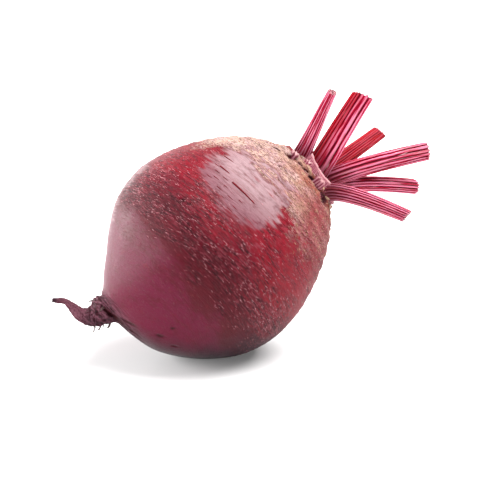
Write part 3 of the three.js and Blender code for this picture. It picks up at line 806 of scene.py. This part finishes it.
for number, stalk in enumerate(stalks["each"], 1):
    toward = math.radians(stalk["toward"])
    lean = math.radians(stalk["lean"])
    heading = aroundAxis(toward, math.sin(lean), math.cos(lean))
    aside, across, height = stalk["knee"]
    knee = onCrown(aside, across, height)
    piece = growStalk([
        onCrown(*stalk["foot"], -stalks["footDepth"]),
        onCrown(*stalk["foot"], height * 0.5),
        knee + heading * stalk["length"] * 0.25,
        knee + heading * stalk["length"],
    ], toward, number, stalks, stalk, [math.tan(math.radians(angle)) for angle in stalk["cut"]],
        f"leafStalk{number}")
    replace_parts(piece, f"leaf_stalk_{number}")
print("leaf stalks made")

# Stubs of the young leaves in the heart, each a little further out, wider and shorter than the last
heart = {
    "middle": (2.4, -2.6),
    "height": 2.4,
    "count": 5,
    "ribCount": 6,
    "ribDepth": 0.16,
    "channelDepth": 0.05,
    "slopes": (0.2, -0.3),
    "shape": {"tip": 0.74, "ripe": 0.3, "ripeOutward": 0.0},
    "seed": 7,
}
random = seeded(heart["seed"])
heartMiddle = onCrown(*heart["middle"], heart["height"])
for i in range(heart["count"]):
    azimuth = i * goldenTurn + 0.9
    out, width, tall = 0.9 + 0.4 * i, 2.2 + 0.25 * i, 8.6 - i + 1.5 * next(random)
    foot = heartMiddle + aroundAxis(azimuth, out, 0)
    tip = heartMiddle + aroundAxis(azimuth, out + 0.22 * tall, tall)
    shape = {**heart["shape"], "width": width * 1.15, "thick": width * 1.15}
    stub = growStalk([foot, foot.lerp(tip, 1 / 3), foot.lerp(tip, 2 / 3), tip], azimuth, i + 20, heart, shape,
                     heart["slopes"], f"heartStub{i + 1}")
    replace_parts(stub, "heart_stubs")


def closeStrip(rings, name, ribs, fibres, edges):
    # a skin over rings of points; ribs, fibres and edges hold one value for each point
    points = [p for ring in rings for p in ring]
    faces = closeTube(points, len(rings[0]), (ribs, fibres, edges))
    piece = makePiece(name, points, faces, tornMaterial)
    giveAttribute(piece.data, "rib", "FLOAT", ribs)
    giveAttribute(piece.data, "fibre", "FLOAT_VECTOR", fibres)
    giveAttribute(piece.data, "edge", "FLOAT", edges)
    piece.data.set_sharp_from_angle(angle=math.radians(70))
    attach(piece, "root")
    return piece


# Torn bases of outer leaves: azimuth round the rim, the arc that each clasps, how far it stands up at its
# middle and at its ends, and how ragged its edge is. The first joins the feet of two stalks like a web.
sheaths = {
    "thick": 1.7,
    "radius": 13.9,
    "low": 48.0,
    "flare": 0.18,
    "fibres": 5.2,           # fibres for each 10 degrees
    "levels": 16,
    "each": [
        {"azimuth": 76, "arc": 72, "middle": 2.4, "ends": 4.8, "ragged": 0.2},
        {"azimuth": -66, "arc": 50, "middle": 4.2, "ends": 2.4, "ragged": 1.3},
        {"azimuth": 218, "arc": 46, "middle": 4.0, "ends": 2.2, "ragged": 1.2},
    ],
    # a dry bit of an older leaf outside them
    "dryBit": {"azimuth": 8, "arc": 34, "middle": 0.2, "ends": -2.2, "ragged": 0.6, "radius": 16.2},
}


def makeSheath(number, sheath):
    arc = math.radians(sheath["arc"])
    columns = int(sheath["arc"] * 3)
    levels = sheaths["levels"]
    rings, ribs, fibres, edges = [], [], [], []
    for i in range(columns + 1):
        share = i / columns
        turn = math.radians(sheath["azimuth"]) + (share - 0.5) * arc
        shoulder = math.sin(share * math.pi)
        half = sheaths["thick"] / 2 * mix(0.3, 1, shoulder ** 0.6)
        torn = noise.noise(Vector((turn * 22, number * 9.0, 0.5)))
        torn += 0.6 * noise.noise(Vector((turn * 60, 7.0, number)))
        top = plant["crownHeight"] + mix(sheath["ends"], sheath["middle"], shoulder ** 0.8)
        top += sheath["ragged"] * torn
        fibreTurn = share * sheath["arc"] / 10 * sheaths["fibres"] * fullTurn
        ring = []
        # down the inner face, then up the outer one
        for face in (-1, 1):
            for level in range(levels):
                rise = 1 - level / (levels - 1) if face < 0 else level / (levels - 1)
                along = mix(sheaths["low"], top, rise)
                spread = max(0.0, along - plant["crownHeight"]) * sheaths["flare"]
                wander = 0.5 * noise.noise(Vector((turn * 6, along / 3, number * 4.0)))
                rib = math.cos(fibreTurn + 1.5 * wander)
                thin = mix(1.0, 0.35, ease(0.6, 1.0, rise))
                reach = sheath.get("radius", sheaths["radius"]) + spread + face * half * thin + 0.5 * wander
                if face > 0:
                    swell = 1 + 0.5 * noise.noise(Vector((turn * 16, 2.0, number)))
                    reach += 0.16 * rib + 1.5 * (1 - rise) * swell
                ring.append(aroundAxis(turn, reach, along) + crownMiddle)
                ribs.append(rib)
                fibres.append(Vector((turn * 14, reach, along)))
                edges.append(ease(0.86, 0.98, rise))
        rings.append(ring)
    return closeStrip(rings, f"tornSheath{number}", ribs, fibres, edges)


for number, sheath in enumerate(sheaths["each"], 1):
    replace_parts(makeSheath(number, sheath), f"torn_leaf_base_{number}")
dryBit = makeSheath(len(sheaths["each"]) + 1, sheaths["dryBit"])
dryBit.data.materials[0] = scabMaterial
giveAttribute(dryBit.data, "own", "FLOAT", [0.5] * len(dryBit.data.vertices))

# Scars and dry stumps of shed leaves round the rim: crescent scales that lean outwards, broken at the top
scars = {
    "count": 16,
    "widths": (6.6, 4.6),    # from the outer row to the inner one, as are the next three
    "leans": (38, 14),
    "outside": (2.4, -3.4),  # beyond the crown's radius
    "above": (-3.8, 1.6),    # and its height
    "thick": (0.9, 1.5),
    "tall": (1.6, 3.4),
    "sunk": 3.5,
    "points": 17,
    "levels": 10,
    "seed": 41,
}
random = seeded(scars["seed"])
for i in range(scars["count"]):
    azimuth = i * goldenTurn + 0.5
    row = i / scars["count"]
    width = mix(*scars["widths"], row) * mix(0.8, 1.2, next(random))
    thick, tall = mix(*scars["thick"], next(random)), mix(*scars["tall"], next(random))
    skew = 6 * next(random)
    turning = Matrix.Rotation(math.radians(mix(-9, 9, next(random))) + azimuth - math.radians(90), 3, "Z")
    leaning = Matrix.Rotation(-math.radians(mix(*scars["leans"], row)), 3, "X")
    outermost, innermost = (plant["crownRadius"] + out for out in scars["outside"])
    lowest, highest = (plant["crownHeight"] + up for up in scars["above"])
    foot = crownMiddle + aroundAxis(azimuth, mix(outermost, innermost, row), mix(lowest, highest, row))
    rings, ribs, fibres, edges = [], [], [], []
    count = scars["points"]
    for k in range(scars["levels"] + 1):
        level = mix(-scars["sunk"], tall, k / scars["levels"])
        share = max(0.0, level / tall)
        half = width / 2 * mix(1, 0.62, share * share)
        outer, inner = [], []
        for p in range(count):
            across = mix(-1, 1, p / (count - 1))
            bow = thick * (1 - across * across)
            torn = 0.5 * math.cos(across * 7 + skew) + 0.7 * noise.noise(Vector((across * 4, i * 3.0, 1.0)))
            height = level + ease(0.5, 1.0, share) * torn
            ripple = 0.12 * math.cos(across * 22 + i)
            outer.append((half * across, bow * mix(1.25, 0.7, share) + ripple, height))
            if 0 < p < count - 1:
                inner.append((half * across, -bow * mix(0.5, 0.15, share), height))
        ring = outer[::-1] + inner
        rings.append([turning @ leaning @ Vector(s) + foot for s in ring])
        ribs += [math.cos(s[0] * 5 + i) for s in ring]
        fibres += [Vector((s[0], s[1] + 7 * i, s[2])) for s in ring]
        edges += [ease(0.75, 1.0, share)] * len(ring)
    scar = closeStrip(rings, f"leafScar{i + 1}", ribs, fibres, edges)
    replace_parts(scar, "beetroot_body")
print("heart stubs, torn bases and scars made")

# Loose cork: small flakes that lie along the growth lines, lifted at one edge, wherever a zone of the root
# asks for them. One tree makes the large ones at the rim, the small ones below it and the fine pale dashes.
flakes = {
    "rimFlakes": {"zone": "rimZone", "density": 60000, "length": 2.6, "width": 1.1, "lift": 0.5,
                  "material": flakeMaterial, "seed": 11},
    "corkFlakes": {"zone": "cork", "density": 420000, "length": 1.3, "width": 0.24, "lift": 0.1,
                   "material": flakeMaterial, "seed": 23},
    "paleDashes": {"zone": "flecked", "density": 690000, "length": 1.4, "width": 0.13, "lift": 0.05,
                   "material": dashMaterial, "seed": 5},
}


def makeFlakeTree():
    tree, given = newTree("liftedFlakes", "Ground", ("Density", "Length", "Width", "Lift"), strings=("Zone",))
    zone = addNode(tree, "GeometryNodeInputNamedAttribute", {"data_type": "FLOAT"}, {"Name": given["Zone"]})
    scatter = addNode(tree, "GeometryNodeDistributePointsOnFaces", {}, {
        "Mesh": given["Ground"], "Seed": given["Seed"],
        "Density": product(tree, zone, given["Density"]),
    }).node.outputs
    grain = addNode(tree, "GeometryNodeInputNamedAttribute", {"data_type": "FLOAT_VECTOR"}, {
        "Name": "grainWay",
    })
    turned = addNode(tree, "FunctionNodeAlignRotationToVector", {"axis": "Z"}, {"Vector": scatter["Normal"]})
    turned = addNode(tree, "FunctionNodeAlignRotationToVector", {"axis": "X", "pivot_axis": "Z"}, {
        "Rotation": turned, "Vector": grain,
    })
    # one flake: a thin bent grid, narrowed to its two ends and lifted at one long edge
    grid = addNode(tree, "GeometryNodeMeshGrid", {}, {
        "Size X": 2.0, "Size Y": 2.0, "Vertices X": 4, "Vertices Y": 3,
    })
    place = addNode(tree, "GeometryNodeInputPosition")
    x, y, z = addNode(tree, "ShaderNodeSeparateXYZ", {}, {0: place}).node.outputs
    narrow = maths(tree, "MAXIMUM", maths(tree, "SUBTRACT", 1.02, product(tree, x, x)), 0.0)
    narrow = maths(tree, "SQRT", narrow)
    lift = product(tree, maths(tree, "MULTIPLY_ADD", y, 0.5, 0.35), narrow)
    shape = addNode(tree, "ShaderNodeCombineXYZ", {}, {0: x, 1: product(tree, y, narrow), 2: lift})
    flake = addNode(tree, "GeometryNodeSetPosition", {}, {"Geometry": grid, "Position": shape})
    flake = addNode(tree, "GeometryNodeExtrudeMesh", {}, {
        "Mesh": flake, "Offset Scale": 0.25, "Individual": False,
    })
    sizes = addNode(tree, "ShaderNodeCombineXYZ", {}, {
        0: product(tree, given["Length"], 0.5), 1: product(tree, given["Width"], 0.5), 2: given["Lift"],
    })
    sizes = scaled(tree, sizes, randomly(tree, 0.4, 1.25, given["Seed"], 1))
    placed = addNode(tree, "GeometryNodeInstanceOnPoints", {}, {
        "Points": scatter["Points"], "Instance": flake, "Rotation": turned, "Scale": sizes,
    })
    spun = addNode(tree, "FunctionNodeRandomValue", {"data_type": "FLOAT_VECTOR"}, {
        "Min": (-0.1, -0.1, -0.22), "Max": (0.1, 0.1, 0.22), "Seed": given["Seed"],
    })
    placed = addNode(tree, "GeometryNodeRotateInstances", {}, {"Instances": placed, "Rotation": spun})
    placed = stored(tree, placed, "own", randomly(tree, 0.0, 1.0, given["Seed"], 2), domain="INSTANCE")
    return endTree(tree, given, placed)


flakeTree = makeFlakeTree()
for name, flake in flakes.items():
    piece = runTree(rootSkin, flakeTree, {
        "Density": float(flake["density"]),
        "Length": flake["length"] * mm,
        "Width": flake["width"] * mm,
        "Lift": flake["lift"] * mm,
        "Zone": flake["zone"],
        "Seed": flake["seed"],
        "Material": flake["material"],
    }, name)
    print(name, len(piece.data.polygons), "faces")

# Rootlets and hairs on the tail: where each leaves it (along, azimuth), length, thickness, and droop
rootlets = {
    "middle": 8.6,
    "surface": (3.6, 6.4),   # the tail's radius near its tip and near the root
    "each": [
        (-51.0, 150, 1.0, 1.4, 1.0), (-54.2, 168, 1.2, 1.0, 1.0), (-56.8, 140, 1.3, 0.8, 1.0),
        (-50.2, 60, 1.0, 1.3, 1.0), (-49.6, -70, 1.8, 1.2, 1.0), (-53.4, 152, 1.3, 0.5, 1.0),
        (-57.6, 138, 3.0, 0.3, -0.6), (-51.4, 146, 1.8, 0.25, 0.6), (-55.0, 20, 1.4, 0.3, 1.0),
        (-53.6, -150, 2.2, 0.4, 1.0), (-50.8, -120, 1.8, 0.35, 1.0),
    ],
}


def makeThreadTree():
    tree, given = newTree("taperedThread", "Path", ("Thickness",))
    share = addNode(tree, "GeometryNodeSplineParameter", {}, {}, "Factor")
    line = addNode(tree, "GeometryNodeResampleCurve", {}, {"Curve": given["Path"], "Count": 14})
    thickness = product(tree, ranged(tree, share, 0.0, 1.0, 0.5, 0.24), given["Thickness"])
    line = addNode(tree, "GeometryNodeSetCurveRadius", {}, {"Curve": line, "Radius": thickness})
    ring = addNode(tree, "GeometryNodeCurvePrimitiveCircle", {}, {"Resolution": 8, "Radius": 1.0})
    thread = addNode(tree, "GeometryNodeCurveToMesh", {}, {
        "Curve": line, "Profile Curve": ring, "Fill Caps": True,
        "Scale": addNode(tree, "GeometryNodeInputRadius"),
    })
    thread = stored(tree, thread, "own", randomly(tree, 0.0, 0.5, given["Seed"], 1))
    return endTree(tree, given, thread)


threadTree = makeThreadTree()
tailMiddle = aroundAxis(tailSide, rootlets["middle"], 0)
for number, (along, degrees, length, thickness, droop) in enumerate(rootlets["each"], 1):
    azimuth = math.radians(degrees)
    surface = mix(*rootlets["surface"], ease(-57, -50, along))
    followPath(threadTree, [
        tailMiddle + aroundAxis(azimuth, surface - 2.0, along),
        tailMiddle + aroundAxis(azimuth, surface + length * 0.3, along - 0.2),
        tailMiddle + aroundAxis(azimuth, surface + length * 0.7, along - 1.2 * droop),
        tailMiddle + aroundAxis(azimuth + 0.05 * droop, surface + length, along - 2.6 * droop),
    ], {
        "Thickness": thickness * mm, "Seed": number, "Material": hairMaterial,
    }, f"rootlet{number}")

# Scabs on the smooth patch, thin and dark red along the growth lines: along, azimuth, length, thickness
scabs = {
    "radius": 40,            # of the root there, about
    "rise": 0.08,
    "bulge": 0.0018,         # more for long ones, which bridge the skin's curve
    "each": [
        (16.2, 50, 11.5, 0.9), (17.0, 33, 5.0, 0.7), (22.7, 27, 5.4, 0.5), (14.0, 32, 2.4, 0.35),
        (11.6, 35, 2.4, 0.35), (14.2, 38, 2.4, 0.3), (9.5, 41, 2.6, 0.35), (12.0, 42, 2.0, 0.3),
        (10.2, 48, 2.4, 0.3), (8.2, 46, 2.0, 0.3), (9.0, 54, 2.4, 0.3), (6.8, 53, 2.4, 0.35),
        (16.0, 28, 2.2, 0.3), (10.0, 32, 2.2, 0.3), (7.0, 58, 2.4, 0.35), (12.6, 53, 1.8, 0.3),
    ],
}
toPlant = plantPlace.inverted()


def onSkin(azimuth, along, rise):
    outside = plantPlace @ aroundAxis(azimuth, scabs["radius"], along)
    spot, normal = rootSkin.closest_point_on_mesh(outside)[1:3]
    return toPlant @ (spot + normal * rise * mm)


for i, (along, degrees, length, thickness) in enumerate(scabs["each"]):
    spots = []
    for share in (-0.5, -0.2, 0.2, 0.5):
        azimuth = math.radians(degrees) + share * length / scabs["radius"]
        # follows the skin between its ends
        rise = scabs["rise"] + scabs["bulge"] * length * length if abs(share) < 0.5 else 0
        spots.append(onSkin(azimuth, along + root["grainLean"] * share * length, rise))
    followPath(threadTree, spots, {
        "Thickness": thickness * mm, "Seed": 60 + i, "Material": scabMaterial,
    }, f"scab{i + 1}")

# Pale fibres torn off the first base, one below the other, each from its root to its curled tip
tornFibres = {
    "count": 5,
    "azimuths": (80, 66),
    "radii": (14.8, 16.3),
    "along": 52.7,
    "step": -0.75,
    "thickness": 0.55,
}
for i in range(tornFibres["count"]):
    along = tornFibres["along"] + i * tornFibres["step"]
    spots = []
    for share in (0, 1 / 3, 2 / 3, 1):
        azimuth = math.radians(mix(*tornFibres["azimuths"], share) + 4 * (i % 2))
        radius = mix(*tornFibres["radii"], share ** 1.5)
        spots.append(crownMiddle + aroundAxis(azimuth, radius, along + 0.4 * share * (1 - i % 3)))
    followPath(threadTree, spots, {
        "Thickness": tornFibres["thickness"] * mm, "Seed": 40 + i, "Material": fibreMaterial,
    }, f"tornFibre{i + 1}")
print("rootlets, scabs and torn fibres made")

# The view: the camera stands to the left of the front, a little above, and looks at a point beside the root
view = {
    "azimuth": -25.9,
    "elevation": 16.0,
    "distance": 0.7,
    "lens": 121.4,
    "aside": 0.0166,
}
viewAzimuth, viewElevation = math.radians(view["azimuth"]), math.radians(view["elevation"])
rightWay = Vector((math.cos(viewAzimuth), math.sin(viewAzimuth), 0))
levelWay = Vector((-math.sin(viewAzimuth), math.cos(viewAzimuth), 0))
viewWay = levelWay * math.cos(viewElevation) - Vector((0, 0, 1)) * math.sin(viewElevation)
upWay = rightWay.cross(viewWay)
aim = Vector(plant["middle"]) * mm + rightWay * view["aside"]
cameraData = bpy.data.cameras.new("camera")
cameraData.lens = view["lens"]
cameraData.sensor_width = 36
camera = addObject("camera", cameraData)
camera.matrix_world = Matrix.Translation(aim - viewWay * view["distance"]) @ Matrix((
    rightWay, upWay, -viewWay)).transposed().to_4x4()
bpy.context.scene.camera = camera

# Softboxes: the way to each as seen from the camera (right, up, towards the viewer), distance, width and
# height, power
softboxes = {
    "overhead": {"way": (0.46, 0.86, 0.19), "distance": 0.9, "size": (0.78, 0.95), "power": 31},
    "left": {"way": (-1.0, 0.12, 0.0), "distance": 0.9, "size": (1.3, 0.8), "power": 33},
    "behind": {"way": (-0.5, 0.5, -0.7), "distance": 0.9, "size": (0.8, 0.36), "power": 4},
}
for name, box in softboxes.items():
    data = bpy.data.lights.new(name, "AREA")
    data.shape = "RECTANGLE"
    data.size, data.size_y = box["size"]
    data.energy = box["power"]
    right, up, toward = box["way"]
    away = (rightWay * right + upWay * up - viewWay * toward).normalized()
    level = rightWay if abs(right) < 0.8 else viewWay
    wide = (level - away * level.dot(away)).normalized()
    light = addObject(name, data)
    light.matrix_world = Matrix.Translation(Vector(plant["middle"]) * mm + away * box["distance"]) @ Matrix((
        wide, away.cross(wide), away)).transposed().to_4x4()
    light.visible_camera = False

world = bpy.data.worlds.new("studio")
world.use_nodes = True
world.node_tree.nodes["Background"].inputs["Color"].default_value = (1, 1, 1, 1)
world.node_tree.nodes["Background"].inputs["Strength"].default_value = 0.12
bpy.context.scene.world = world
bpy.context.scene.view_settings.view_transform = "Standard"

# Floor: matt white paper, which glows a little further out so that it stays white to the horizon
floorMaterial, floorTree = makeMaterial("whitePaper")
floorPoint = addNode(floorTree, "ShaderNodeTexCoord", out="Object")
farness = addNode(floorTree, "ShaderNodeVectorMath", {"operation": "LENGTH"}, {0: floorPoint}, "Value")
glow = maths(floorTree, "ADD", ranged(floorTree, farness, 0.01, 0.06, 0.12, 0.28), ranged(
    floorTree, farness, 0.06, 0.6, 0.0, 0.6))
paper = addNode(floorTree, "ShaderNodeBsdfPrincipled", {}, {
    "Base Color": toLinear("#dad9d9"), "Roughness": 0.9,
    "Emission Color": (1, 1, 1, 1), "Emission Strength": glow,
})
addNode(floorTree, "ShaderNodeOutputMaterial", {}, {"Surface": paper})
floorMesh = bpy.data.meshes.new("floor")
floorMesh.from_pydata([(-4, -4, 0), (4, -4, 0), (4, 4, 0), (-4, 4, 0)], [], [(0, 1, 2, 3)])
floorMesh.materials.append(floorMaterial)
floor = addObject("floor", floorMesh)
print("camera, lights and floor placed")
